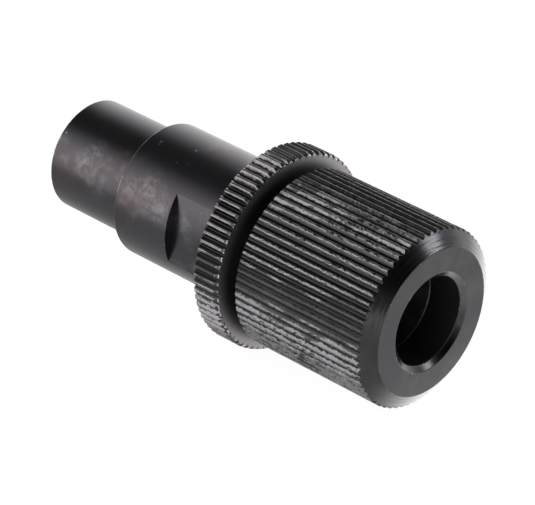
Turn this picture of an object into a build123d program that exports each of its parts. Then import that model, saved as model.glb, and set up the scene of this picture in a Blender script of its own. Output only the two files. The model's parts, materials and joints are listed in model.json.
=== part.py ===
from build123d import *
import math
import os

# Hand-tightened keyless three-jaw drill chuck, lying with its axis along +X.
# The origin is the centre of the rear face, the nose points to +X and +Z is up.
# All lengths are in millimetres and all angles in degrees.

# ---- driving dimensions: body ----
TAIL_RADIUS = 10.63
TAIL_END = 19.0
HUB_RADIUS = 12.87
RING_SEAT_RADIUS = 13.0
EDGE_CHAMFER = 0.6
SHOULDER_CHAMFER = 0.35
SOCKET_RADIUS = 5.7
SOCKET_DEPTH = 16.0
WEB_HOLE_RADIUS = 3.25
THROAT_START = 30.0
THROAT_RADIUS = 5.0
THROAT_END = 71.8
MOUTH_RADIUS = 8.4
BARREL_RADIUS = 14.25
BARREL_END = 61.0
RACE_SEAT_RADIUS = 11.65
RACE_SEAT_END = 65.0
NUT_GROOVE_RADIUS = 8.9
NUT_GROOVE_END = 71.1
SPIGOT_RADIUS = 10.4
SPIGOT_END = 76.8
SPIGOT_RIM_CHAMFER = 0.25

# ---- wrench flats ----
FLAT_DISTANCE = 11.0
FLAT_START = 32.3
FLAT_TURN = 79.0
FLATS = 2

# ---- knurled grip ring ----
RING_START = 45.3
RING_END = 51.05
RING_RADIUS = 19.0
RING_CHAMFER_LENGTH = 0.8
RING_CHAMFER_DEPTH = 0.37
RING_REAR_CHAMFER = 0.3
RING_TEETH = 72
RING_TOOTH_DEPTH = 0.66
RING_LAND = 0.2
RING_KEY_RADIUS = 0.9

# ---- knurled clamping sleeve ----
SLEEVE_START = 53.4
SLEEVE_RADIUS = 17.0
SLEEVE_TEETH = 64
SLEEVE_TOOTH_DEPTH = 0.62
SLEEVE_LAND = 0.2
SLEEVE_REAR_CHAMFER = 0.25
KNURL_END = 82.3
NOSE_END = 84.4
NOSE_FACE_RADIUS = 13.94
COUNTERSINK_RADIUS = 9.5
COUNTERSINK_DEPTH = 0.8
SLEEVE_BORE_RADIUS = 14.3
RUNNING_CLEARANCE = 0.05

# ---- jaws ----
JAWS = 3
JAW_ANGLE = 18.0
JAW_RADIUS = 2.8
JAW_TIP_AXIS_RADIUS = 5.0
JAW_REAR = 55.4
JAW_BORE_REAR = 54.9
JAW_LAND_RADIUS = 4.0
JAW_APEX_RADIUS = 3.8
JAW_FLANK_ANGLE = 60.0
JAW_PHASE = FLAT_TURN - 30.0
JAW_TOOTH_PITCH = 1.6
JAW_TOOTH_WIDTH = 0.8
JAW_TOOTH_DEPTH = 0.35
JAW_TEETH = 7
JAW_FIRST_TOOTH = 57.0

# ---- nut, band and thrust bearing ----
NUT_END = 71.0
NUT_RADIUS = 13.4
NUT_SPLIT = 0.12
SNAP_START = 66.3
SNAP_WIDTH = 1.0
SNAP_INNER_RADIUS = 13.95
SNAP_OUTER_RADIUS = 14.75
SNAP_GAP_ANGLE = 24.0
DRIVE_PINS = 3
DRIVE_PIN_RADIUS = 0.6
DRIVE_PIN_START = 68.0
RACE_THICKNESS = 1.0
RACE_OUTER_RADIUS = 14.2
BALL_RADIUS = 1.0
BALL_PITCH_RADIUS = 12.95
BALLS = 24
CAGE_INNER_RADIUS = 11.8
CAGE_OUTER_RADIUS = 14.1
CAGE_THICKNESS = 1.2

# ---- dust seals ----
REAR_SEAL_START = 53.9
REAR_SEAL_WIDTH = 1.4
REAR_SEAL_DEPTH = 0.9
NOSE_SEAL_START = 73.4
NOSE_SEAL_WIDTH = 1.2
NOSE_SEAL_DEPTH = 0.8
SEAL_CLEARANCE = 0.02

CUT_MARGIN = 1.0


def turned(points):
    """Solid of revolution about the chuck axis from (x, radius) points."""
    return revolve(make_face(Polyline(*points, close=True)), Axis.X)


def tube(start, end, inner, outer):
    return turned([(start, inner), (end, inner), (end, outer), (start, outer)])


def around(shape, count, phase=0.0):
    """Copies of a shape spaced evenly about the chuck axis."""
    return [Rot(X=phase + 360.0 * index / count) * shape for index in range(count)]


def rod(start, end, radius, offset):
    """Round rod along the chuck axis, standing off it towards +Z."""
    length = end - start
    place = Plane(origin=(start + length / 2, 0, offset), z_dir=(1, 0, 0))
    return place * Cylinder(radius, length)


def knurled_bar(start, end, crest, depth, teeth, land):
    """Bar with straight ridges: a flat crest, then a V groove, for each tooth."""
    pitch = 360.0 / teeth
    points = []
    for index in range(teeth):
        middle = index * pitch
        corners = (
            (middle - land * pitch / 2, crest),
            (middle + land * pitch / 2, crest),
            (middle + pitch / 2, crest - depth),
        )
        for angle, radius in corners:
            turn = math.radians(angle)
            points.append((radius * math.cos(turn), radius * math.sin(turn)))
    outline = Plane.YZ.offset(start) * make_face(Polyline(*points, close=True))
    return extrude(outline, end - start)


def jaw_axis_radius(x):
    """Distance of a jaw's own axis from the chuck axis, at a place along it."""
    return JAW_TIP_AXIS_RADIUS + (THROAT_END - x) * math.tan(math.radians(JAW_ANGLE))


def jaw_back_radius(x):
    return jaw_axis_radius(x) + JAW_RADIUS / math.cos(math.radians(JAW_ANGLE))


def inclined_rod(rear, front, radius):
    """Round rod on a jaw's axis, square to it at both ends."""
    turn = math.radians(JAW_ANGLE)
    middle = (rear + front) / 2
    place = Plane(
        origin=(middle, 0, jaw_axis_radius(middle)),
        z_dir=(math.cos(turn), 0, -math.sin(turn)),
    )
    return place * Cylinder(radius, (front - rear) / math.cos(turn))


def body_outline():
    return [
        (0, 0),
        (0, TAIL_RADIUS - EDGE_CHAMFER),
        (EDGE_CHAMFER, TAIL_RADIUS),
        (TAIL_END, TAIL_RADIUS),
        (TAIL_END, HUB_RADIUS - SHOULDER_CHAMFER),
        (TAIL_END + SHOULDER_CHAMFER, HUB_RADIUS),
        (RING_START, HUB_RADIUS),
        (RING_START, RING_SEAT_RADIUS),
        (RING_END, RING_SEAT_RADIUS),
        (RING_END, BARREL_RADIUS),
        (REAR_SEAL_START, BARREL_RADIUS),
        (REAR_SEAL_START, BARREL_RADIUS - REAR_SEAL_DEPTH),
        (REAR_SEAL_START + REAR_SEAL_WIDTH, BARREL_RADIUS - REAR_SEAL_DEPTH),
        (REAR_SEAL_START + REAR_SEAL_WIDTH, BARREL_RADIUS),
        (BARREL_END, BARREL_RADIUS),
        (BARREL_END, RACE_SEAT_RADIUS),
        (RACE_SEAT_END, RACE_SEAT_RADIUS),
        (RACE_SEAT_END, NUT_GROOVE_RADIUS),
        (NUT_GROOVE_END, NUT_GROOVE_RADIUS),
        (NUT_GROOVE_END, SPIGOT_RADIUS),
        (NOSE_SEAL_START, SPIGOT_RADIUS),
        (NOSE_SEAL_START, SPIGOT_RADIUS - NOSE_SEAL_DEPTH),
        (NOSE_SEAL_START + NOSE_SEAL_WIDTH, SPIGOT_RADIUS - NOSE_SEAL_DEPTH),
        (NOSE_SEAL_START + NOSE_SEAL_WIDTH, SPIGOT_RADIUS),
        (SPIGOT_END - SPIGOT_RIM_CHAMFER, SPIGOT_RADIUS),
        (SPIGOT_END, SPIGOT_RADIUS - SPIGOT_RIM_CHAMFER),
        (SPIGOT_END, 0),
    ]


def body_hollow():
    """Threaded socket, web hole, throat and mouth, all on the chuck axis."""
    return turned([
        (-CUT_MARGIN, 0),
        (-CUT_MARGIN, SOCKET_RADIUS),
        (SOCKET_DEPTH, SOCKET_RADIUS),
        (SOCKET_DEPTH, WEB_HOLE_RADIUS),
        (THROAT_START, WEB_HOLE_RADIUS),
        (THROAT_START, THROAT_RADIUS),
        (THROAT_END, THROAT_RADIUS),
        (THROAT_END, MOUTH_RADIUS),
        (SPIGOT_END - SPIGOT_RIM_CHAMFER, MOUTH_RADIUS),
        (SPIGOT_END, MOUTH_RADIUS + SPIGOT_RIM_CHAMFER),
        (SPIGOT_END + CUT_MARGIN, MOUTH_RADIUS + SPIGOT_RIM_CHAMFER),
        (SPIGOT_END + CUT_MARGIN, 0),
    ])


def flat_cutter():
    """Block outside one wrench flat, facing +Z before it is turned into place."""
    length = RING_START - FLAT_START
    width = 2 * HUB_RADIUS + CUT_MARGIN
    height = HUB_RADIUS - FLAT_DISTANCE + CUT_MARGIN
    middle = (FLAT_START + length / 2, 0, FLAT_DISTANCE + height / 2)
    return Pos(*middle) * Box(length, width, height)


def ring_key(clearance=0.0):
    radius = RING_KEY_RADIUS - clearance
    return Rot(X=FLAT_TURN + 90.0) * rod(RING_START, RING_END, radius, RING_SEAT_RADIUS)


def chuck_body():
    body = turned(body_outline()) - body_hollow()
    body -= around(flat_cutter(), FLATS, FLAT_TURN)
    bore = inclined_rod(JAW_BORE_REAR, SPIGOT_END, JAW_RADIUS + RUNNING_CLEARANCE)
    body -= around(bore, JAWS, JAW_PHASE)
    return body - ring_key()


def grip_ring():
    bar = knurled_bar(RING_START, RING_END, RING_RADIUS, RING_TOOTH_DEPTH, RING_TEETH, RING_LAND)
    blank = turned([
        (RING_START, RING_SEAT_RADIUS),
        (RING_END, RING_SEAT_RADIUS),
        (RING_END, RING_RADIUS - RING_CHAMFER_DEPTH),
        (RING_END - RING_CHAMFER_LENGTH, RING_RADIUS),
        (RING_START + RING_REAR_CHAMFER, RING_RADIUS),
        (RING_START, RING_RADIUS - RING_REAR_CHAMFER),
    ])
    return (bar & blank) - ring_key()


def sleeve_blank():
    journal_radius = SPIGOT_RADIUS + RUNNING_CLEARANCE
    journal_end = SPIGOT_END + RUNNING_CLEARANCE
    return turned([
        (SLEEVE_START, SLEEVE_BORE_RADIUS),
        (NUT_GROOVE_END, SLEEVE_BORE_RADIUS),
        (NUT_GROOVE_END, journal_radius),
        (journal_end, journal_radius),
        (journal_end, MOUTH_RADIUS),
        (NOSE_END - COUNTERSINK_DEPTH, MOUTH_RADIUS),
        (NOSE_END, COUNTERSINK_RADIUS),
        (NOSE_END, NOSE_FACE_RADIUS),
        (KNURL_END, SLEEVE_RADIUS),
        (SLEEVE_START + SLEEVE_REAR_CHAMFER, SLEEVE_RADIUS),
        (SLEEVE_START, SLEEVE_RADIUS - SLEEVE_REAR_CHAMFER),
    ])


def clamping_sleeve():
    bar = knurled_bar(
        SLEEVE_START, NOSE_END, SLEEVE_RADIUS, SLEEVE_TOOTH_DEPTH, SLEEVE_TEETH, SLEEVE_LAND
    )
    sleeve = bar & sleeve_blank()
    sleeve -= tube(SNAP_START, SNAP_START + SNAP_WIDTH, SNAP_INNER_RADIUS, SNAP_OUTER_RADIUS)
    return sleeve - around(drive_pin(), DRIVE_PINS)


def jaw():
    """One jaw, towards +Z: a rod with a 120 degree wedge and a narrow grip land."""
    blank = inclined_rod(JAW_REAR, SPIGOT_END, JAW_RADIUS)
    reach = SLEEVE_RADIUS
    side = (reach - JAW_APEX_RADIUS) * math.tan(math.radians(JAW_FLANK_ANGLE))
    land_side = (JAW_LAND_RADIUS - JAW_APEX_RADIUS) * math.tan(math.radians(JAW_FLANK_ANGLE))
    corners = [
        (-land_side, JAW_LAND_RADIUS),
        (land_side, JAW_LAND_RADIUS),
        (side, reach),
        (-side, reach),
    ]
    start = JAW_REAR - CUT_MARGIN - JAW_RADIUS
    outline = Plane.YZ.offset(start) * make_face(Polyline(*corners, close=True))
    piece = blank & extrude(outline, THROAT_END - start)
    for index in range(JAW_TEETH):
        place = JAW_FIRST_TOOTH + index * JAW_TOOTH_PITCH
        root = jaw_back_radius(place + JAW_TOOTH_WIDTH) - JAW_TOOTH_DEPTH
        piece -= tube(place, place + JAW_TOOTH_WIDTH, root, reach)
    return piece


def nut_ring():
    """Nut before it is split: a cone that lies on the backs of the jaws."""
    bore = NUT_GROOVE_RADIUS + RUNNING_CLEARANCE
    wide = jaw_back_radius(RACE_SEAT_END) + RUNNING_CLEARANCE
    cone_end = RACE_SEAT_END + (wide - bore) / math.tan(math.radians(JAW_ANGLE))
    return turned([
        (RACE_SEAT_END, wide),
        (cone_end, bore),
        (NUT_END, bore),
        (NUT_END, NUT_RADIUS),
        (RACE_SEAT_END, NUT_RADIUS),
    ])


def nut_half(turn):
    """Half of the nut; the two halves part in a plane through the chuck axis."""
    size = 2 * SLEEVE_RADIUS
    middle = ((RACE_SEAT_END + NUT_END) / 2, 0, (size + NUT_SPLIT) / 2)
    return nut_ring() & (Rot(X=turn) * Pos(*middle) * Box(size, size, size))


def drive_pin():
    return rod(DRIVE_PIN_START, NUT_END, DRIVE_PIN_RADIUS, SLEEVE_BORE_RADIUS)


def snap_ring():
    ring = tube(SNAP_START, SNAP_START + SNAP_WIDTH, SNAP_INNER_RADIUS, SNAP_OUTER_RADIUS)
    half_gap = SLEEVE_RADIUS * math.tan(math.radians(SNAP_GAP_ANGLE / 2))
    middle = (SNAP_START, 0, SLEEVE_RADIUS / 2)
    return ring - Pos(*middle) * Box(4 * SNAP_WIDTH, half_gap, SLEEVE_RADIUS)


def nut_band():
    band = tube(RACE_SEAT_END, NUT_END, NUT_RADIUS, SLEEVE_BORE_RADIUS)
    band -= tube(SNAP_START, SNAP_START + SNAP_WIDTH, SNAP_INNER_RADIUS, SNAP_OUTER_RADIUS)
    return band - around(drive_pin(), DRIVE_PINS)


def race(start):
    inner = RACE_SEAT_RADIUS + RUNNING_CLEARANCE
    return tube(start, start + RACE_THICKNESS, inner, RACE_OUTER_RADIUS)


def ball():
    middle = BARREL_END + RACE_THICKNESS + BALL_RADIUS
    return Pos(middle, 0, BALL_PITCH_RADIUS) * Sphere(BALL_RADIUS)


def ball_cage():
    start = BARREL_END + RACE_THICKNESS + BALL_RADIUS - CAGE_THICKNESS / 2
    end = start + CAGE_THICKNESS
    pocket = rod(start, end, BALL_RADIUS + RUNNING_CLEARANCE, BALL_PITCH_RADIUS)
    return tube(start, end, CAGE_INNER_RADIUS, CAGE_OUTER_RADIUS) - around(pocket, BALLS)


def seal(start, width, bearing_radius, depth):
    """Ring that fills its groove and all but touches the sleeve's bore."""
    outer = bearing_radius + RUNNING_CLEARANCE - SEAL_CLEARANCE
    return tube(start, start + width, bearing_radius - depth, outer)


def pieces():
    found = {
        "chuck_body": chuck_body(),
        "grip_ring": grip_ring(),
        "ring_key": ring_key(),
        "clamping_sleeve": clamping_sleeve(),
        "nut_half_1": nut_half(0.0),
        "nut_half_2": nut_half(180.0),
        "nut_band": nut_band(),
        "drive_pins": Compound(children=around(drive_pin(), DRIVE_PINS)),
        "sleeve_snap_ring": snap_ring(),
        "rear_race": race(BARREL_END),
        "front_race": race(RACE_SEAT_END - RACE_THICKNESS),
        "bearing_balls": Compound(children=around(ball(), BALLS)),
        "ball_cage": ball_cage(),
        "rear_dust_seal": seal(REAR_SEAL_START, REAR_SEAL_WIDTH, BARREL_RADIUS, REAR_SEAL_DEPTH),
        "nose_dust_seal": seal(NOSE_SEAL_START, NOSE_SEAL_WIDTH, SPIGOT_RADIUS, NOSE_SEAL_DEPTH),
    }
    for index, piece in enumerate(around(jaw(), JAWS, JAW_PHASE)):
        found["jaw_" + str(index + 1)] = piece
    return found


os.makedirs("parts", exist_ok=True)
for name, shape in pieces().items():
    export_step(shape, os.path.join("parts", name + ".step"))
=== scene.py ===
import json
import math

import bmesh
import bpy
import numpy as np
from mathutils import Matrix, Vector


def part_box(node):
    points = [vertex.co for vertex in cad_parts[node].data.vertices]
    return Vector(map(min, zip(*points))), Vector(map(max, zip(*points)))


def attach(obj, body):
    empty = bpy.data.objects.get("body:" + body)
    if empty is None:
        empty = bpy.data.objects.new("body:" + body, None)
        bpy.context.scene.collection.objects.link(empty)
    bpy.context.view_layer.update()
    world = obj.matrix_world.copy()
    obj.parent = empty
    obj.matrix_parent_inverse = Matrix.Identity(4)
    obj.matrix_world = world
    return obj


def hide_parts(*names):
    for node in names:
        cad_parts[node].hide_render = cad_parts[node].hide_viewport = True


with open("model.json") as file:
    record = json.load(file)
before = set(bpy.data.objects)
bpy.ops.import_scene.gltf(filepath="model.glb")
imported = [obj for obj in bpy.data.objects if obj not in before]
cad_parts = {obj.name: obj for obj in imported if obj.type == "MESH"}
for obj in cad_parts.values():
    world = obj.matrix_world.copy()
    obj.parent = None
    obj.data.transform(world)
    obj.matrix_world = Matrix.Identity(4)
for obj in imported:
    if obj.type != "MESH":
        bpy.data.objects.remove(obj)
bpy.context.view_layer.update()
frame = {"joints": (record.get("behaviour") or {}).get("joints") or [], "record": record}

# Looks of a hand-tightened drill chuck in blackened steel. Metres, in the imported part's frame:
# the chuck's axis is +X, its rear face is at x = 0 and the nose points to +X.

MM = 0.001
TURN = 2 * math.pi

# ---- places taken from the frame ----
SLEEVE_LOW, SLEEVE_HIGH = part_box("clamping_sleeve")
RING_LOW, RING_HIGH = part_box("grip_ring")
MOUNTS = {mount["name"]: mount for mount in frame["record"]["mounts"]}
SLEEVE_RADIUS = SLEEVE_HIGH.z
RING_RADIUS = RING_HIGH.z
RING_REAR, RING_FRONT = RING_LOW.x, RING_HIGH.x
SLEEVE_REAR, NOSE_X = SLEEVE_LOW.x, SLEEVE_HIGH.x
SPIGOT_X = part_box("chuck_body")[1].x
TAIL_RADIUS = MOUNTS["tail_spigot"]["dims"]["r_mm"] * MM
MOUTH_RADIUS = MOUNTS["mouth_bore"]["dims"]["r_mm"] * MM
SOCKET_RADIUS = MOUNTS["spindle_socket"]["dims"]["r_mm"] * MM
SCREW_HOLE_RADIUS = MOUNTS["socket_screw_hole"]["dims"]["r_mm"] * MM
FLAT_NORMAL = Vector(MOUNTS["wrench_flat_a"]["axis"])
FLAT_DISTANCE = Vector(MOUNTS["wrench_flat_a"]["pos_m"]).dot(FLAT_NORMAL)
JAW_SLIDES = [joint for joint in frame["joints"] if joint["name"].endswith("_slide")]

# ---- shape details ----
TAIL_END = 19.0 * MM
HUB_RADIUS = 12.87 * MM
RING_SEAT_RADIUS = 13.0 * MM
FLAT_START = 32.3 * MM
BARREL_RADIUS = 14.25 * MM
BARREL_END = 61.0 * MM
RACE_SEAT_RADIUS = 11.65 * MM
RACE_SEAT_END = 65.0 * MM
NUT_GROOVE_RADIUS = 8.9 * MM
NUT_GROOVE_END = 71.1 * MM
SPIGOT_RADIUS = 10.4 * MM
THROAT_START = 30.0 * MM
THROAT_END = 71.8 * MM
THROAT_RADIUS = 5.0 * MM
SOCKET_DEPTH = 16.0 * MM
THREAD_PITCH = 1.27 * MM
THREAD_DEPTH = 0.55 * MM
JAW_BORE_RADIUS = 2.85 * MM
JAW_TIP_AXIS_RADIUS = 5.0 * MM
JAW_BORE_REAR = 54.9 * MM
SLEEVE_BORE_RADIUS = 14.3 * MM
KNURL_END = 82.3 * MM
NOSE_FACE_RADIUS = 13.94 * MM
COUNTERSINK_RADIUS = 9.5 * MM
COUNTERSINK_DEPTH = 0.8 * MM
GAP = 0.05 * MM

SLEEVE_TEETH = 64
SLEEVE_TOOTH_DEPTH = 0.44 * MM
RING_TEETH = 72
RING_TOOTH_DEPTH = 0.62 * MM
TOOTH_COLUMNS = 16
KNURL_STEP = 0.16 * MM
BODY_COLUMNS = 320
GROOVE_FLAT = 0.16

# Sides of the knurls that are rubbed bare, and sides where the crests stay dark and the teeth rougher:
# middle and half width, in degrees.
RUBBED_SIDES = ((108, 12), (197, 19), (287, 13), (12, 24))
DULL_SIDES = ((68, 20), (166, 8), (250, 19))
# Dark scuffs on the sleeve: x in mm, angle, length in mm, width in degrees.
SCUFFS = (
    (63.7, 101, 1.7, 2.6), (57.3, 97, 2.2, 3.0), (68.3, 92, 1.8, 1.8),
    (77.5, 103, 1.3, 2.0), (55.3, 102, 1.2, 1.8), (60.8, 109, 0.8, 1.4),
)
# Hazy and bare spots on the body: x in mm, angle in degrees, radius in mm.
HAZE_SPOTS = (
    (8.2, 154, 2.1), (9.9, 135, 1.8), (22.0, 150, 1.8), (26.2, 147, 3.0), (29.5, 155, 2.4),
    (34.8, 162, 2.4), (36.8, 174, 1.9),
)
BARE_SPOTS = ((22.0, 104, 0.26), (22.2, 107, 0.2), (29.2, 96, 0.26), (30.4, 112, 0.2), (1.3, 132, 0.18))

FACE_STEP = 0.5 * MM
LATHE_STEP = 0.16 * MM
LATHE_DEPTH = 0.03 * MM
GROOVE_ODDS = 0.65
HOLD = 0.07 * MM
ARC_STEPS = 4
MERGE_DISTANCE = 1e-7
SHARP_ANGLE = 35

# ---- surface details ----
TURNING_LINES = 9000
INNER_BUMP = 0.003 * MM
# Painted sheen: flat end faces turn lighter grey between these radii, toward their outer rim.
PAINTED_SHEEN_START = 15.3 * MM
PAINTED_SHEEN_FULL = 18.3 * MM

# ---- light ----
FLOOR_SIZE = 6.0
# Floor glow in reflections: painted shadow before the chuck, painted pool of light under the nose and
# the far floor, then the floor's glow and shading as seen.
FLOOR_SHADOW_GLOW = 0.56
FLOOR_NOSE_POOL = 1.9
FLOOR_FAR = 1.25
FLOOR_SEEN = 1.25
FLOOR_SHADE = 0.25
REAR_WALL = (math.radians(12), math.radians(66))
REAR_WALL_GLOW = 1.3
FRONT_WALL = (math.radians(97), math.radians(156))
FRONT_WALL_GLOW = 1.4
GROUND_GLOW = 0.6
CEILING_GLOW = 0.1
NOSE_WALL_SHARE = 0.12

# ---- camera: aim and distance are shares of the chuck's length and of the sleeve's radius ----
CAMERA_AZIMUTH = math.radians(43.3)
CAMERA_ELEVATION = math.radians(32.1)
CAMERA_AIM = (0.5357, 0.015, -0.157)
CAMERA_DISTANCE = 37.13
CAMERA_LENS = 236.5

rng = np.random.default_rng(64)


# ---------------------------------------------------------------- mesh tools

def grain(rows, columns, along, around):
    """Smooth random field of unit spread; along and around are its blur in rows and columns."""
    field = np.fft.fft2(rng.standard_normal((rows, columns)))
    down = np.fft.fftfreq(rows)[:, None] * along
    across = np.fft.fftfreq(columns)[None, :] * around
    smooth = np.fft.ifft2(field * np.exp(-2 * math.pi ** 2 * (down ** 2 + across ** 2))).real
    return smooth / smooth.std()


def ramp(low, high, value):
    """0 below low, 1 above high, smooth between."""
    t = np.clip((value - low) / (high - low), 0, 1)
    return t * t * (3 - 2 * t)


def rounded(corners):
    """Closed outline from (x, radius, rounding) corners: arcs at the corners, holding rows beside them.

    Gives (x, radius, edge) rows, where edge is 1 on an arc and 0 elsewhere."""
    rows = []
    count = len(corners)
    for index, (x, r, size) in enumerate(corners):
        here = Vector((x, r))
        before = Vector(corners[index - 1][:2]) - here
        after = Vector(corners[(index + 1) % count][:2]) - here
        start = here + before.normalized() * size
        end = here + after.normalized() * size
        hold_start = here + before.normalized() * min(size + HOLD, before.length / 2)
        hold_end = here + after.normalized() * min(size + HOLD, after.length / 2)
        rows.append((*hold_start, 0.0))
        for step in range(ARC_STEPS + 1):
            t = step / ARC_STEPS
            point = start * (1 - t) ** 2 + here * 2 * t * (1 - t) + end * t ** 2
            rows.append((*point, 1.0))
        rows.append((*hold_end, 0.0))
    return rows


def refined(rows, low, high, step, least=0.0):
    """The outline with extra rows on long runs between two x places and outside a least radius."""
    result = []
    for index, row in enumerate(rows):
        result.append(row)
        following = rows[(index + 1) % len(rows)]
        length = math.dist(row[:2], following[:2])
        inside = min(row[0], following[0]) >= low and max(row[0], following[0]) <= high
        outside = min(row[1], following[1]) >= least
        if not (inside and outside) or length <= step:
            continue
        parts = int(length / step)
        for part in range(1, parts):
            t = part / parts
            point = [a * (1 - t) + b * t for a, b in zip(row[:2], following[:2])]
            result.append((*point, 0.0))
    return result


def linked(name, data):
    """A new object in the scene."""
    thing = bpy.data.objects.new(name, data)
    bpy.context.scene.collection.objects.link(thing)
    return thing


def built(name, work):
    """The mesh object that a bmesh describes."""
    mesh = bpy.data.meshes.new(name)
    work.to_mesh(mesh)
    work.free()
    return linked(name, mesh)


def ring_mesh(name, xs, radii, angles, wear, edge):
    """Closed surface from rows of x places and radii; the last row joins the first.

    Wear marks the rubbed knurl. Edge marks the turned corners, from 0 to 1, and the knurl's
    grooves, down to -1."""
    rows, columns = radii.shape
    turns = np.broadcast_to(angles[None, :], radii.shape)
    places = np.stack(
        [xs, radii * np.cos(turns), radii * np.sin(turns)], axis=-1
    ).reshape(-1, 3)
    row = np.arange(rows)[:, None]
    column = np.arange(columns)[None, :]
    next_row = (row + 1) % rows
    next_column = (column + 1) % columns
    faces = np.stack([
        row * columns + column,
        row * columns + next_column,
        next_row * columns + next_column,
        next_row * columns + column,
    ], axis=-1).reshape(-1, 4)
    mesh = bpy.data.meshes.new(name)
    mesh.from_pydata(places.tolist(), [], faces.tolist())
    for key, field in (("wear", wear), ("edge", edge)):
        values = np.broadcast_to(field, radii.shape).reshape(-1).astype(np.float32)
        mesh.attributes.new(key, "FLOAT", "POINT").data.foreach_set("value", values)
    mesh.polygons.foreach_set("use_smooth", np.ones(len(mesh.polygons), bool))
    piece = linked(name, mesh)
    face_outward(piece)
    return piece


def face_outward(piece):
    """Merges points that a knurl has brought together, and turns the faces outwards."""
    work = bmesh.new()
    work.from_mesh(piece.data)
    bmesh.ops.remove_doubles(work, verts=work.verts, dist=MERGE_DISTANCE)
    bmesh.ops.recalc_face_normals(work, faces=work.faces)
    work.to_mesh(piece.data)
    work.free()


def hollowed(piece, cutters):
    """Cuts closed meshes out of a piece and applies the result."""
    for index, cutter in enumerate(cutters):
        cut = piece.modifiers.new("cut_" + str(index), "BOOLEAN")
        cut.operation = "DIFFERENCE"
        cut.solver = "EXACT"
        cut.object = cutter
    graph = bpy.context.evaluated_depsgraph_get()
    mesh = bpy.data.meshes.new_from_object(piece.evaluated_get(graph))
    piece.modifiers.clear()
    piece.data = mesh
    for cutter in cutters:
        bpy.data.objects.remove(cutter)
    mesh.polygons.foreach_set("use_smooth", np.ones(len(mesh.polygons), bool))
    mesh.set_sharp_from_angle(angle=math.radians(SHARP_ANGLE))


def adopt(piece, node, body):
    """The piece rides on a body and stands for one node."""
    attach(piece, body)
    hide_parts(node)
    return piece


# ---------------------------------------------------------------- knurls

def knurl_field(rows, teeth, land, depth, chip_depth, raggedness):
    """How far a knurl lies under its crest circle, and how worn it is, over rows and columns.

    Wear is up to 0.65 on flanks, on the sides where a hand has rubbed them, 1 on corners off the dull
    sides, and below 0 on the dull sides where they are not rubbed."""
    columns = teeth * TOOTH_COLUMNS
    turns = np.arange(columns) * TURN / columns
    phase = np.arange(columns) / TOOTH_COLUMNS
    wander = 0.008 * grain(rows, columns, 25, 8)
    off = np.abs((phase[None, :] + wander + 0.5) % 1.0 - 0.5)
    torn = grain(rows, columns, 1.3, 1.0)
    patchy = grain(rows, columns, 12, 26)
    half_land = land / 2 + 0.03 * raggedness * grain(rows, columns, 1.0, 1.5)
    fall = np.clip((off - half_land) / (0.5 - GROOVE_FLAT / 2 - half_land), 0, 1)
    height = 1 - fall
    rim = ramp(0.5, 0.85, height)
    chips = ramp(1.2, 2.0, 0.75 * torn + 0.75 * patchy) * rim * raggedness
    skin = 0.006 * MM * raggedness * grain(rows, columns, 1.0, 1.0)
    drop = depth * fall + chip_depth * chips + skin * rim
    rubbed = np.max([one_side(turns, patchy, *side) for side in RUBBED_SIDES], axis=0)
    dull = np.max([one_side(turns, patchy, *side) for side in DULL_SIDES], axis=0)
    flanks = 0.65 * ramp(0.05, 0.35, height + 0.12 * torn) * (0.1 + 0.9 * rubbed)
    corners = ramp(0.11, 0.05, np.abs(off - half_land)) * ramp(0.7, 0.9, height) * (1 - dull)
    wear = np.maximum(flanks, corners) * (1 - 0.9 * chips) - 0.5 * dull * (1 - rubbed)
    return drop, wear


def one_side(turns, patchy, middle, half):
    """1 within half an angle of the middle, in degrees, with a blotchy border."""
    off = np.abs((np.degrees(turns) - middle + 180) % 360 - 180)
    return ramp(5, -5, (off - half)[None, :] + 4 * patchy)


def scuffed(xs, angles):
    """1 on dark scuffs, each at an x place and an angle, with a length in mm and a width in degrees."""
    rough = 0.25 * grain(len(xs), len(angles), 1.5, 1.0)
    turns = np.degrees(angles)[None, :]
    spots = [
        np.exp(-((xs[:, None] / MM - x) / length) ** 2 - ((turns - angle) / width) ** 2)
        for x, angle, length, width in SCUFFS
    ]
    return ramp(0.3, 0.55, np.max(spots, axis=0) + rough * (np.max(spots, axis=0) > 0.05))


def knurled(name, rows, teeth, crest, depth, land, chip_depth, raggedness, low, high):
    """Lathe-turned piece whose outside between two x places carries a straight knurl."""
    columns = teeth * TOOTH_COLUMNS
    angles = np.arange(columns) * TURN / columns
    count = int((high + depth - low) / KNURL_STEP) + 2
    drop, worn = knurl_field(count, teeth, land, depth, chip_depth, raggedness)
    xs, base, edge = np.array(rows).T
    worn = worn * (1 - scuffed(low + np.arange(count) * KNURL_STEP, angles))
    index = np.clip(((xs - low) / KNURL_STEP).astype(int), 0, count - 1)
    outside = (base > crest - 1.3 * depth) & (xs >= low - GAP) & (xs <= high + depth)
    knurl = np.where(outside[:, None], crest - drop[index], np.inf)
    radii = np.minimum(base[:, None], knurl)
    on_knurl = knurl <= base[:, None] + 0.02 * MM
    wear = np.where(on_knurl, worn[index], 0.0)
    edge = np.where(on_knurl, -np.clip(drop[index] / depth, 0, 1), edge[:, None])
    return ring_mesh(name, np.broadcast_to(xs[:, None], radii.shape), radii, angles, wear, edge)


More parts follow.
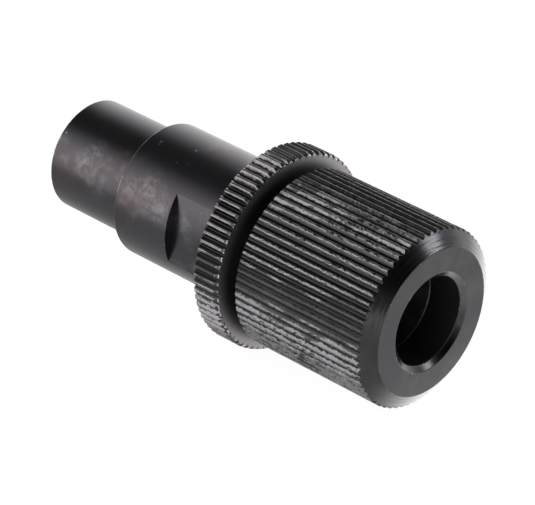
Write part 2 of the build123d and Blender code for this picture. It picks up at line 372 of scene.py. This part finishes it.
def sleeve_outline():
    corners = [
        (SLEEVE_REAR, SLEEVE_BORE_RADIUS, 0.15),
        (SLEEVE_REAR, SLEEVE_RADIUS - 0.25 * MM, 0.1),
        (SLEEVE_REAR + 0.25 * MM, SLEEVE_RADIUS, 0.1),
        (KNURL_END, SLEEVE_RADIUS, 0.12),
        (NOSE_X, NOSE_FACE_RADIUS, 0.16),
        (NOSE_X, COUNTERSINK_RADIUS, 0.1),
        (NOSE_X - COUNTERSINK_DEPTH, MOUTH_RADIUS, 0.12),
        (SPIGOT_X + GAP, MOUTH_RADIUS, 0.12),
        (SPIGOT_X + GAP, SPIGOT_RADIUS + GAP, 0.05),
        (NUT_GROOVE_END, SPIGOT_RADIUS + GAP, 0.1),
        (NUT_GROOVE_END, SLEEVE_BORE_RADIUS, 0.1),
    ]
    return rounded([(x, r, size * MM) for x, r, size in corners])


def turned_cone(rows, low, high, least, depth):
    """Fine lathe grooves along the outside of a cone between two x places."""
    return [
        (x, r - depth * (rng.random() > GROOVE_ODDS), edge)
        if low < x < high and r > least and edge == 0 else (x, r, edge)
        for x, r, edge in refined(rows, low, high, LATHE_STEP, least)
    ]


def clamping_sleeve():
    rows = refined(sleeve_outline(), SLEEVE_REAR, KNURL_END, KNURL_STEP, SLEEVE_RADIUS - GAP)
    rows = turned_cone(rows, KNURL_END, NOSE_X, NOSE_FACE_RADIUS - GAP, LATHE_DEPTH)
    rows = refined(rows, SLEEVE_REAR - GAP, SLEEVE_REAR + GAP, FACE_STEP)
    piece = knurled(
        "sleeve_knurled", rows, SLEEVE_TEETH, SLEEVE_RADIUS, SLEEVE_TOOTH_DEPTH,
        land=0.18, chip_depth=0.09 * MM, raggedness=1.0, low=SLEEVE_REAR, high=KNURL_END,
    )
    return adopt(piece, "clamping_sleeve", "sleeve")


def ring_outline():
    corners = [
        (RING_REAR, RING_SEAT_RADIUS, 0.1),
        (RING_REAR, RING_RADIUS - 0.3 * MM, 0.1),
        (RING_REAR + 0.3 * MM, RING_RADIUS, 0.1),
        (RING_FRONT - 0.8 * MM, RING_RADIUS, 0.12),
        (RING_FRONT, RING_RADIUS - 0.37 * MM, 0.16),
        (RING_FRONT, RING_SEAT_RADIUS, 0.1),
    ]
    return rounded([(x, r, size * MM) for x, r, size in corners])


def grip_ring():
    rows = refined(ring_outline(), RING_REAR, RING_FRONT, KNURL_STEP, RING_RADIUS - 0.4 * MM)
    for x in (RING_REAR, RING_FRONT):
        rows = refined(rows, x - GAP, x + GAP, FACE_STEP)
    piece = knurled(
        "grip_ring_knurled", rows, RING_TEETH, RING_RADIUS, RING_TOOTH_DEPTH,
        land=0.24, chip_depth=0.05 * MM, raggedness=0.3, low=RING_REAR, high=RING_FRONT,
    )
    return adopt(piece, "grip_ring", "body")


# ---------------------------------------------------------------- body

def body_outline():
    mouth_rim = 0.25
    corners = [
        (0, SOCKET_RADIUS + 0.8 * MM, 0.1),
        (0, TAIL_RADIUS - 0.6 * MM, 0.2),
        (0.6 * MM, TAIL_RADIUS, 0.2),
        (TAIL_END, TAIL_RADIUS, 0.2),
        (TAIL_END, HUB_RADIUS - 0.35 * MM, 0.1),
        (TAIL_END + 0.35 * MM, HUB_RADIUS, 0.15),
        (RING_REAR, HUB_RADIUS, 0.05),
        (RING_REAR, RING_SEAT_RADIUS, 0.05),
        (RING_FRONT, RING_SEAT_RADIUS, 0.05),
        (RING_FRONT, BARREL_RADIUS, 0.15),
        (BARREL_END, BARREL_RADIUS, 0.1),
        (BARREL_END, RACE_SEAT_RADIUS, 0.1),
        (RACE_SEAT_END, RACE_SEAT_RADIUS, 0.1),
        (RACE_SEAT_END, NUT_GROOVE_RADIUS, 0.1),
        (NUT_GROOVE_END, NUT_GROOVE_RADIUS, 0.1),
        (NUT_GROOVE_END, SPIGOT_RADIUS, 0.1),
        (SPIGOT_X, SPIGOT_RADIUS, 0.1),
        (SPIGOT_X, MOUTH_RADIUS + mouth_rim * MM, 0.08),
        (SPIGOT_X - mouth_rim * MM, MOUTH_RADIUS, 0.08),
        (THROAT_END, MOUTH_RADIUS, 0.15),
        (THROAT_END, THROAT_RADIUS, 0.15),
        (THROAT_START, THROAT_RADIUS, 0.2),
        (THROAT_START, SCREW_HOLE_RADIUS, 0.15),
        (SOCKET_DEPTH, SCREW_HOLE_RADIUS, 0.15),
        (SOCKET_DEPTH, SOCKET_RADIUS, 0.15),
        (0.8 * MM, SOCKET_RADIUS, 0.05),
    ]
    return rounded([(x, r, size * MM) for x, r, size in corners])


def body_angles():
    """Even columns, with one on each corner between a flat and the round hub."""
    corner = math.acos(FLAT_DISTANCE / HUB_RADIUS)
    middle = math.atan2(FLAT_NORMAL.z, FLAT_NORMAL.y)
    extra = [middle + side * corner + half for side in (-1, 1) for half in (0, math.pi)]
    even = np.arange(BODY_COLUMNS) * TURN / BODY_COLUMNS
    return np.unique(np.round(np.concatenate([even, np.mod(extra, TURN)]), 7))


def jaw_bore(joint):
    """Closed rod that cuts one inclined jaw bore; the joint's axis is its own."""
    forward = Vector(joint["axis"])
    inward = Vector((0, forward.y, forward.z)).normalized()
    tip = Vector((THROAT_END, 0, 0)) - inward * JAW_TIP_AXIS_RADIUS
    rear = tip + forward * ((JAW_BORE_REAR - THROAT_END) / forward.x)
    front = tip + forward * ((SPIGOT_X + 1 * MM - THROAT_END) / forward.x)
    work = bmesh.new()
    bmesh.ops.create_cone(
        work, cap_ends=True, segments=64, radius1=JAW_BORE_RADIUS, radius2=JAW_BORE_RADIUS,
        depth=(front - rear).length,
    )
    turn = forward.to_track_quat("Z", "Y").to_matrix().to_4x4()
    bmesh.ops.transform(work, matrix=Matrix.Translation((rear + front) / 2) @ turn, verts=work.verts)
    return built("jaw_bore", work)


def chuck_body():
    rows = refined(body_outline(), 0, SOCKET_DEPTH, THREAD_PITCH / 8)
    angles = body_angles()
    xs, base, edge = np.array(rows).T
    radii = np.repeat(base[:, None], len(angles), axis=1)
    in_socket = (np.abs(base - SOCKET_RADIUS) < GAP) & (xs > 0.5 * MM) & (xs < SOCKET_DEPTH - 1 * MM)
    phase = (xs[:, None] / THREAD_PITCH - angles[None, :] / TURN) % 1.0
    thread = THREAD_DEPTH * (1 - np.abs(2 * phase - 1))
    radii = np.where(in_socket[:, None], radii + thread, radii)
    piece = ring_mesh(
        "body_turned", np.broadcast_to(xs[:, None], radii.shape), radii, angles, 0.0, edge[:, None]
    )
    hollowed(piece, [jaw_bore(joint) for joint in JAW_SLIDES] + [flat_block(1), flat_block(-1)])
    return adopt(piece, "chuck_body", "body")


def flat_block(side):
    """Closed block outside one wrench flat."""
    normal = FLAT_NORMAL * side
    along = Vector((1, 0, 0))
    across = normal.cross(along)
    depth = 4 * MM
    length = RING_REAR - FLAT_START
    middle = along * (FLAT_START + length / 2) + normal * (FLAT_DISTANCE + depth / 2)
    work = bmesh.new()
    bmesh.ops.create_cube(work, size=1)
    size = Matrix.Diagonal((length, 2 * RING_RADIUS, depth, 1))
    turn = Matrix((along, across, normal)).transposed().to_4x4()
    bmesh.ops.transform(work, matrix=Matrix.Translation(middle) @ turn @ size, verts=work.verts)
    return built("flat_block", work)


# ---------------------------------------------------------------- materials

class Tree:
    """A node tree under construction, with short calls for the nodes that it uses."""

    def __init__(self, tree):
        self.tree = tree

    def link(self, source, target):
        self.tree.links.new(source, target)

    def node(self, kind, **inputs):
        """A node with its inputs set by name, each from a number or another node's output."""
        node = self.tree.nodes.new("ShaderNode" + kind)
        for key, value in inputs.items():
            self.fill(node.inputs[key], value)
        return node

    def fill(self, target, value):
        if isinstance(value, bpy.types.NodeSocket):
            self.link(value, target)
        else:
            target.default_value = value

    def range(self, value, low, high, to_low=0.0, to_high=1.0):
        node = self.node("MapRange", Value=value)
        node.interpolation_type = "SMOOTHSTEP"
        for key, number in zip(
            ("From Min", "From Max", "To Min", "To Max"), (low, high, to_low, to_high)
        ):
            node.inputs[key].default_value = number
        return node.outputs["Result"]

    def math(self, operation, *values):
        node = self.node("Math")
        node.operation = operation
        for target, value in zip(node.inputs, values):
            self.fill(target, value)
        return node.outputs["Value"]


class Paint(Tree):
    """A node material under construction."""

    def __init__(self, name):
        self.material = bpy.data.materials.new(name)
        self.material.use_nodes = True
        super().__init__(self.material.node_tree)
        self.shader = self.tree.nodes["Principled BSDF"]
        self.place = self.node("TexCoord").outputs["Object"]

    def noise(self, scale, detail=4.0, rough=0.55):
        node = self.node("TexNoise", Vector=self.place, Scale=scale, Detail=detail, Roughness=rough)
        return node.outputs["Fac"]

    def mix(self, factor, first, second):
        node = self.node("Mix")
        node.data_type = "RGBA"
        self.link(factor, node.inputs["Factor"])
        for key, value in (("A", first), ("B", second)):
            socket = [s for s in node.inputs if s.name == key and s.type == "RGBA"][0]
            if isinstance(value, tuple):
                socket.default_value = (*value, 1)
            else:
                self.link(value, socket)
        return [s for s in node.outputs if s.type == "RGBA"][0]

    def attribute(self, name):
        node = self.node("Attribute")
        node.attribute_name = name
        return node.outputs["Fac"]

    def radius(self):
        """Distance from the chuck's axis."""
        split = self.node("SeparateXYZ", Vector=self.place)
        square = self.math("ADD", self.math("POWER", split.outputs["Y"], 2.0),
                           self.math("POWER", split.outputs["Z"], 2.0))
        return self.math("SQRT", square)

    def spots(self, places):
        """Soft round spots on the body, each at an x place and an angle, with a radius in mm."""
        spots = 0.0
        for x, angle, size in places:
            surface = (TAIL_RADIUS if x * MM < TAIL_END else HUB_RADIUS)
            turn = math.radians(angle)
            away = self.node("VectorMath")
            away.operation = "DISTANCE"
            self.link(self.place, away.inputs[0])
            away.inputs[1].default_value = (x * MM, surface * math.cos(turn), surface * math.sin(turn))
            near = self.range(away.outputs["Value"], 1.7 * size * MM, 0.2 * size * MM)
            spots = self.math("MAXIMUM", spots, near)
        return spots

    def bored(self, radius):
        """1 on the wall of the mouth and everything nearer the axis."""
        return self.range(radius, MOUTH_RADIUS + 5 * GAP, MOUTH_RADIUS + GAP)

    def lines(self, value, scale):
        """Fine random lines across one length, such as a lathe leaves."""
        place = self.node("CombineXYZ", X=value).outputs["Vector"]
        return self.node("TexNoise", Vector=place, Scale=scale, Detail=3.0).outputs["Fac"]

    def edge_wear(self, radius):
        """1 along sharp edges of a mesh that has no wear attribute."""
        bevel = self.node("Bevel", Radius=radius)
        bevel.samples = 4
        plain = self.node("NewGeometry").outputs["Normal"]
        compare = self.node("VectorMath")
        compare.operation = "DOT_PRODUCT"
        self.link(bevel.outputs["Normal"], compare.inputs[0])
        self.link(plain, compare.inputs[1])
        return self.range(compare.outputs["Value"], 0.97, 0.8)

    def bump(self, height, distance, strength=1.0):
        node = self.node("Bump", Strength=strength, Distance=distance, Height=height)
        self.link(node.outputs["Normal"], self.shader.inputs["Normal"])

    def finish(self, colour, roughness, metallic=1.0):
        self.link(colour, self.shader.inputs["Base Color"])
        self.link(roughness, self.shader.inputs["Roughness"])
        self.fill(self.shader.inputs["Metallic"], metallic)
        return self.material


def nicked(paint, scale, low, high):
    """Small bright nicks along the turned corners."""
    return paint.math("MULTIPLY", paint.range(paint.attribute("edge"), 0.4, 0.9),
                      paint.range(paint.noise(scale, 2), low, high))


def body_steel():
    """Smooth blackened steel with faint blotches, temper tints, turning lines and nicked edges."""
    paint = Paint("blackened_body")
    patch = paint.range(paint.noise(110, 3, 0.5), 0.5, 0.66)
    fine = paint.range(paint.noise(420, 7, 0.7), 0.4, 0.7)
    torn = paint.range(paint.noise(800, 5, 0.7), 0.36, 0.7)
    haze = paint.math("MULTIPLY", paint.spots(HAZE_SPOTS), torn)
    faint = paint.math("MULTIPLY", patch, paint.math("MULTIPLY", fine, 0.5))
    blotch = paint.math("MAXIMUM", faint, haze)
    cloud = paint.range(paint.noise(45, 3, 0.5), 0.35, 0.7)
    tint = paint.range(paint.noise(60, 2, 0.5), 0.5, 0.75)
    base = paint.mix(cloud, (0.076, 0.075, 0.082), (0.09, 0.087, 0.096))
    tinted = paint.mix(paint.math("MULTIPLY", tint, 0.6), base, (0.112, 0.08, 0.084))
    mottled = paint.mix(blotch, tinted, (0.21, 0.198, 0.205))
    specks = paint.math("MULTIPLY", paint.range(paint.noise(900, 2, 0.5), 0.74, 0.8), 0.7)
    nicks = paint.math("MULTIPLY", nicked(paint, 500, 0.45, 0.7), 0.5)
    broken = paint.range(paint.noise(3000, 3), 0.4, 0.55)
    bare = paint.math("MULTIPLY", paint.spots(BARE_SPOTS), broken)
    marks = paint.math("MAXIMUM", nicks, paint.math("MAXIMUM", specks, bare))
    colour = paint.mix(marks, mottled, (0.5, 0.48, 0.46))
    along = paint.node("SeparateXYZ", Vector=paint.place).outputs["X"]
    grooves = paint.math("ADD", paint.lines(along, TURNING_LINES), paint.noise(2200, 4))
    paint.bump(grooves, 0.004 * MM, 0.6)
    bored = paint.bored(paint.radius())
    dusty = paint.math("MULTIPLY", bored, 0.25)
    rough = paint.math("ADD", paint.range(blotch, 0, 1, 0.24, 0.38), dusty)
    metallic = paint.math("SUBTRACT", 1.0, paint.math("MULTIPLY", bored, 0.3))
    return paint.finish(colour, rough, metallic)


def knurl_steel(name, black, grey, bright, nick, painted_groove_shade):
    """Blackened steel, rubbed grey and pitted on the teeth, with bright crests, dark grooves and a
    painted sheen on the end faces.

    A lower nick makes more bright nicks on the turned corners, and the last argument sets how far
    painted shade darkens the grooves."""
    paint = Paint(name)
    wear = paint.attribute("wear")
    normal = paint.node("SeparateXYZ", Vector=paint.node("NewGeometry").outputs["Normal"])
    faced = paint.range(paint.math("ABSOLUTE", normal.outputs["X"]), 0.9, 0.99, 0.0, 0.3)
    patch = paint.math("MULTIPLY", paint.math("SUBTRACT", paint.noise(330, 4, 0.6), 0.5), 1.2)
    ragged = paint.math("MULTIPLY", paint.math("SUBTRACT", paint.noise(4200, 3, 0.7), 0.5), 1.3)
    level = paint.math("ADD", wear, paint.math("ADD", patch, ragged))
    rubbed = paint.math("MULTIPLY", paint.range(level, 0.3, 0.6), paint.range(wear, 0.02, 0.25))
    pits = paint.range(paint.noise(6500, 2, 0.6), 0.52, 0.66)
    sound = paint.math("SUBTRACT", 1.0, paint.math("MULTIPLY", pits, 0.7))
    open_grain = paint.math("MULTIPLY", rubbed, sound)
    tint = paint.range(paint.noise(130, 5, 0.6), 0.42, 0.66)
    coated = paint.mix(paint.math("MULTIPLY", tint, 0.7), black, (0.106, 0.1, 0.094))
    # Painted shade: the knurl's grooves are darkened toward near black, standing in for the shade deep
    # in them.
    groove_shade_mask = paint.range(paint.attribute("edge"), -0.45, -0.85, 0.0, painted_groove_shade)
    coated = paint.mix(groove_shade_mask, coated, (0.02, 0.02, 0.021))
    radius = paint.radius()
    # Painted sheen and shade: flat end faces are mixed toward the worn grey as they near their outer
    # rim, standing in for light reflected there and for shade deeper in.
    rim = paint.math("MULTIPLY", faced, paint.range(radius, PAINTED_SHEEN_START, PAINTED_SHEEN_FULL, 0.0, 3.0))
    worn = paint.mix(paint.math("MAXIMUM", open_grain, rim), coated, grey)
    crest = paint.math("MULTIPLY", paint.range(wear, 0.8, 1.0), paint.range(ragged, -0.05, 0.2))
    nicks = nicked(paint, 2200, nick, nick + 0.1)
    marks = paint.math("MAXIMUM", paint.math("MULTIPLY", crest, 0.45), nicks)
    colour = paint.mix(marks, worn, bright)
    grooves = paint.math("ADD", paint.lines(radius, TURNING_LINES), paint.noise(3000, 5, 0.7))
    paint.bump(grooves, 0.005 * MM, 0.6)
    bored = paint.math("MULTIPLY", paint.bored(radius), 0.15)
    matte = paint.range(wear, 0.0, -0.5, 0.0, 0.22)
    uneven = paint.math("ADD", paint.math("MAXIMUM", faced, bored), matte)
    rough = paint.math("ADD", paint.range(rubbed, 0.0, 1.0, 0.2, 0.3), uneven)
    return paint.finish(colour, rough, paint.math("SUBTRACT", 1.0, bored))


def inner_steel(name, dark, light, worn, roughness):
    """Machined steel of the inner pieces, with tool lines, blotches and bright edges."""
    paint = Paint(name)
    blotch = paint.range(paint.noise(300, 5, 0.6), 0.35, 0.7)
    base = paint.mix(blotch, dark, light)
    edge = paint.math("MULTIPLY", paint.edge_wear(0.15 * MM), paint.range(paint.noise(900), 0.3, 0.6))
    colour = paint.mix(edge, base, worn)
    grooves = paint.math("ADD", paint.lines(paint.radius(), TURNING_LINES), paint.noise(2500, 4))
    paint.bump(grooves, INNER_BUMP, 0.6)
    return paint.finish(colour, paint.range(blotch, 0, 1, roughness, roughness + 0.14))


def seal_rubber():
    paint = Paint("seal_rubber")
    blotch = paint.range(paint.noise(600, 5, 0.6), 0.35, 0.7)
    edge = paint.edge_wear(0.1 * MM)
    base = paint.mix(blotch, (0.018, 0.018, 0.019), (0.035, 0.034, 0.034))
    colour = paint.mix(paint.math("MULTIPLY", edge, 0.4), base, (0.09, 0.09, 0.09))
    paint.bump(paint.noise(2500, 5), 0.006 * MM, 0.6)
    return paint.finish(colour, paint.range(blotch, 0, 1, 0.6, 0.8), metallic=0.0)


def dress(names, material):
    for name in names:
        piece = bpy.data.objects[name]
        piece.data.materials.clear()
        piece.data.materials.append(material)


def paint_all():
    dress(["body_turned"], body_steel())
    # Each knurl's last figure sets how dark the painted shade in its grooves is.
    dress(["sleeve_knurled"], knurl_steel(
        "blackened_sleeve", black=(0.076, 0.075, 0.08), grey=(0.28, 0.273, 0.282),
        bright=(0.46, 0.452, 0.46), nick=0.64, painted_groove_shade=0.65))
    dress(["grip_ring_knurled"], knurl_steel(
        "blackened_ring", black=(0.078, 0.076, 0.082), grey=(0.32, 0.302, 0.318),
        bright=(0.75, 0.73, 0.73), nick=0.5, painted_groove_shade=0.85))
    dress(["jaw_1", "jaw_2", "jaw_3"], inner_steel(
        "jaw_steel", (0.1, 0.1, 0.1), (0.16, 0.155, 0.15), (0.45, 0.44, 0.43), 0.3))
    dress(["nut_half_1", "nut_half_2", "nut_band", "drive_pins", "ring_key"], inner_steel(
        "plain_steel", (0.32, 0.31, 0.3), (0.42, 0.41, 0.4), (0.65, 0.64, 0.62), 0.3))
    dress(["sleeve_snap_ring"], inner_steel(
        "spring_steel", (0.2, 0.2, 0.22), (0.28, 0.28, 0.3), (0.5, 0.5, 0.5), 0.28))
    dress(["rear_race", "front_race", "bearing_balls"], inner_steel(
        "bearing_steel", (0.55, 0.55, 0.56), (0.64, 0.64, 0.65), (0.8, 0.8, 0.8), 0.12))
    dress(["ball_cage"], inner_steel(
        "cage_brass", (0.5, 0.36, 0.14), (0.62, 0.47, 0.2), (0.85, 0.7, 0.4), 0.25))
    dress(["rear_dust_seal", "nose_dust_seal"], seal_rubber())


# ---------------------------------------------------------------- studio

def floor():
    """Floor, plain white to look at; in reflections its glow carries a painted shadow before the chuck
    and a painted pool of light under the nose, so it is brighter behind the chuck than in front of it.
    """
    mesh = bpy.data.meshes.new("studio_floor")
    half = FLOOR_SIZE / 2
    corners = [(-half, -half), (half, -half), (half, half), (-half, half)]
    mesh.from_pydata([(x, y, -RING_RADIUS) for x, y in corners], [], [(0, 1, 2, 3)])
    piece = linked("studio_floor", mesh)
    paint = Paint("floor_white")
    colour = paint.mix(paint.range(paint.noise(3, 2), 0.3, 0.7), (0.86, 0.86, 0.87), (0.88, 0.88, 0.88))
    paint.finish(colour, paint.range(paint.noise(5, 2), 0.3, 0.7, 0.85, 0.95), metallic=0.0)
    split = paint.node("SeparateXYZ", Vector=paint.place)
    along, across = split.outputs["X"], split.outputs["Y"]
    # Painted shadow and light: the glow is lowest in a strip before the chuck, where its shadow would
    # fall, and highest under the nose.
    nose = paint.math("MULTIPLY", paint.range(along, 0.01, 0.08),
                      paint.range(along, 0.084, 0.1, 1.0, 0.4))
    under = paint.math("MULTIPLY", nose,
                       paint.range(across, -0.016, -0.002, 0.0, FLOOR_NOSE_POOL - FLOOR_SHADOW_GLOW))
    behind = paint.range(across, -0.005, 0.05, 0.0, FLOOR_FAR - FLOOR_SHADOW_GLOW)
    before = paint.range(across, -0.05, -0.15, 0.0, FLOOR_FAR - FLOOR_SHADOW_GLOW)
    extra = paint.math("MAXIMUM", under, paint.math("MAXIMUM", behind, before))
    light = paint.math("ADD", extra, FLOOR_SHADOW_GLOW)
    glow = paint.node("Emission", Strength=light)
    white = paint.node("Emission", Strength=FLOOR_SEEN)
    lit = paint.node("MixShader", Fac=FLOOR_SHADE)
    paint.link(white.outputs["Emission"], lit.inputs[1])
    paint.link(paint.shader.outputs["BSDF"], lit.inputs[2])
    seen = paint.node("MixShader", Fac=paint.node("LightPath").outputs["Is Camera Ray"])
    paint.link(glow.outputs["Emission"], seen.inputs[1])
    paint.link(lit.outputs["Shader"], seen.inputs[2])
    paint.link(seen.outputs["Shader"], paint.tree.nodes["Material Output"].inputs["Surface"])
    mesh.materials.append(paint.material)


def soft_box(name, direction, distance, size, power):
    """Area light aimed at the middle of the chuck from one side."""
    aim = Vector((NOSE_X / 2, 0, 0))
    light = bpy.data.lights.new(name, "AREA")
    light.shape = "RECTANGLE"
    light.size, light.size_y = size
    light.energy = power
    light.color = (0.92, 0.94, 1.0)
    lamp = linked(name, light)
    lamp.location = aim + Vector(direction).normalized() * distance
    lamp.rotation_euler = Vector(direction).to_track_quat("Z", "Y").to_euler()


def surroundings():
    """Pale walls along both sides of the chuck, a dark ceiling, and a dark wall before the nose.

    To the camera all of it is plain white."""
    world = bpy.data.worlds.new("studio")
    bpy.context.scene.world = world
    world.use_nodes = True
    tree = Tree(world.node_tree)
    split = tree.node("SeparateXYZ", Vector=tree.node("TexCoord").outputs["Generated"])
    turn = tree.math("ARCTAN2", split.outputs["Z"], split.outputs["Y"])
    rear_wall = tree.range(turn, *REAR_WALL, REAR_WALL_GLOW, 0.0)
    front_wall = tree.range(turn, *FRONT_WALL, 0.0, FRONT_WALL_GLOW)
    below = tree.range(split.outputs["Z"], -0.02, 0.0, GROUND_GLOW, 0.0)
    sides = tree.math("ADD", rear_wall, front_wall)
    walls = tree.math("ADD", sides, tree.math("ADD", below, CEILING_GLOW))
    away = tree.range(split.outputs["X"], 0.05, 0.75, 1.0, NOSE_WALL_SHARE)
    glow = tree.math("MULTIPLY", walls, away)
    seen = tree.node("LightPath").outputs["Is Camera Ray"]
    background = world.node_tree.nodes["Background"]
    strength = tree.math("MAXIMUM", glow, tree.math("MULTIPLY", seen, FLOOR_SEEN))
    tree.link(strength, background.inputs["Strength"])
    background.inputs["Color"].default_value = (1, 1, 1, 1)


def studio():
    surroundings()
    soft_box("nose_box", direction=(0.68, 0.66, 0.32), distance=0.6, size=(0.16, 0.08), power=0.23)


def camera():
    """The chuck seen from the right front and above, through a long lens."""
    back = Vector((
        math.cos(CAMERA_ELEVATION) * math.sin(CAMERA_AZIMUTH),
        -math.cos(CAMERA_ELEVATION) * math.cos(CAMERA_AZIMUTH),
        math.sin(CAMERA_ELEVATION),
    ))
    x, y, z = CAMERA_AIM
    aim = Vector((x * NOSE_X, y * SLEEVE_RADIUS, z * SLEEVE_RADIUS))
    data = bpy.data.cameras.new("camera")
    data.sensor_width = 36
    data.lens = CAMERA_LENS
    data.clip_start = 0.01
    eye = linked("camera", data)
    eye.location = aim + back * (CAMERA_DISTANCE * SLEEVE_RADIUS)
    eye.rotation_euler = (-back).to_track_quat("-Z", "Y").to_euler()
    bpy.context.scene.camera = eye


camera()
clamping_sleeve()
grip_ring()
chuck_body()
paint_all()
floor()
studio()
bpy.context.scene.view_settings.view_transform = "Standard"
